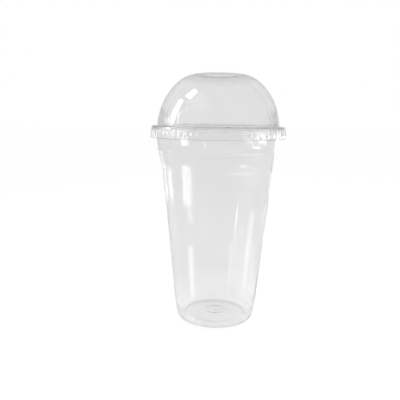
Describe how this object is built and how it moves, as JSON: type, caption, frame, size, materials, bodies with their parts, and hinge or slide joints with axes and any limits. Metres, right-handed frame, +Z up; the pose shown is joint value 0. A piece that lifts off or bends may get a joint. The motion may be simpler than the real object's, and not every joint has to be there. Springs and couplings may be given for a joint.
{
  "type": "plastic cup with dome lid",
  "caption": "Clear tapered cold-drink cup with a stacking shoulder and curled rim, and a clear dome lid with a straw hole that lifts off.",
  "frame": {"origin": "on the cup's axis, in the plane that its foot ring stands on", "axes": "+Z up along the cup's axis; the part is round, so +X and +Y point anywhere across it"},
  "size_m": [0.1018, 0.1018, 0.1851],
  "materials": {
    "cup_plastic": "clear, glossy",
    "lid_plastic": "clear, glossy"
  },
  "bodies": {
    "cup": {"cup": "cup_plastic"},
    "lid": {"dome_lid": "lid_plastic"}
  },
  "joints": [
    {"name": "lid_lift", "type": "slide", "parent": "cup", "child": "lid", "axis": [0, 0, 1], "range_m": [0, 0.05]}
  ]
}
